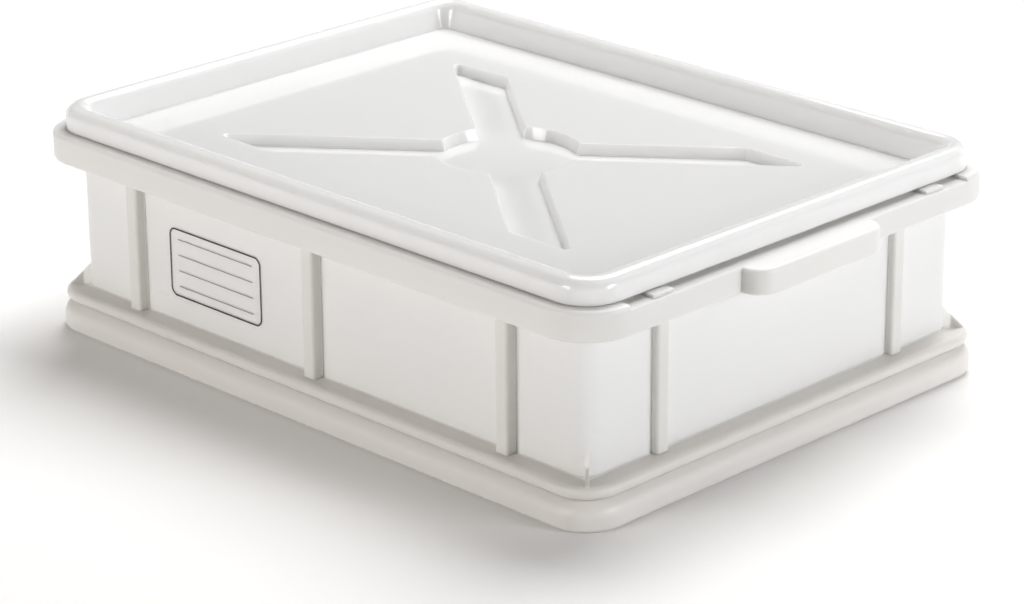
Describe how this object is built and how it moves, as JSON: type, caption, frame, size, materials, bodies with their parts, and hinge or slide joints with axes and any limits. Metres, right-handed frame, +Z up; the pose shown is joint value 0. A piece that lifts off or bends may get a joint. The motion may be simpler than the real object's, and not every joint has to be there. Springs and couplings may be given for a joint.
{
  "type": "dough proofing container",
  "caption": "Rectangular stackable dough proofing box in white food-safe plastic, with a drop-on lid stiffened by a pressed cross, ribbed walls, hand grips and a write-on label.",
  "frame": {"origin": "centre of the footprint, on the surface that the box stands on", "axes": "+X along the length through the two hand grips, +Y along the width away from the labelled side, +Z up"},
  "size_m": [0.424, 0.3, 0.1225],
  "materials": {
    "box_plastic": "satin moulded polypropylene, slightly translucent white",
    "lid_plastic": "smooth moulded polypropylene, slightly translucent white",
    "label_film": "white write-on film with a printed dark frame"
  },
  "bodies": {
    "box": {"container": "box_plastic", "write_on_label": "label_film"},
    "cover": {"lid": "lid_plastic"}
  },
  "joints": [
    {"name": "lid_lift", "type": "slide", "parent": "box", "child": "cover", "axis": [0, 0, 1], "range_m": [0, 0.06]}
  ]
}
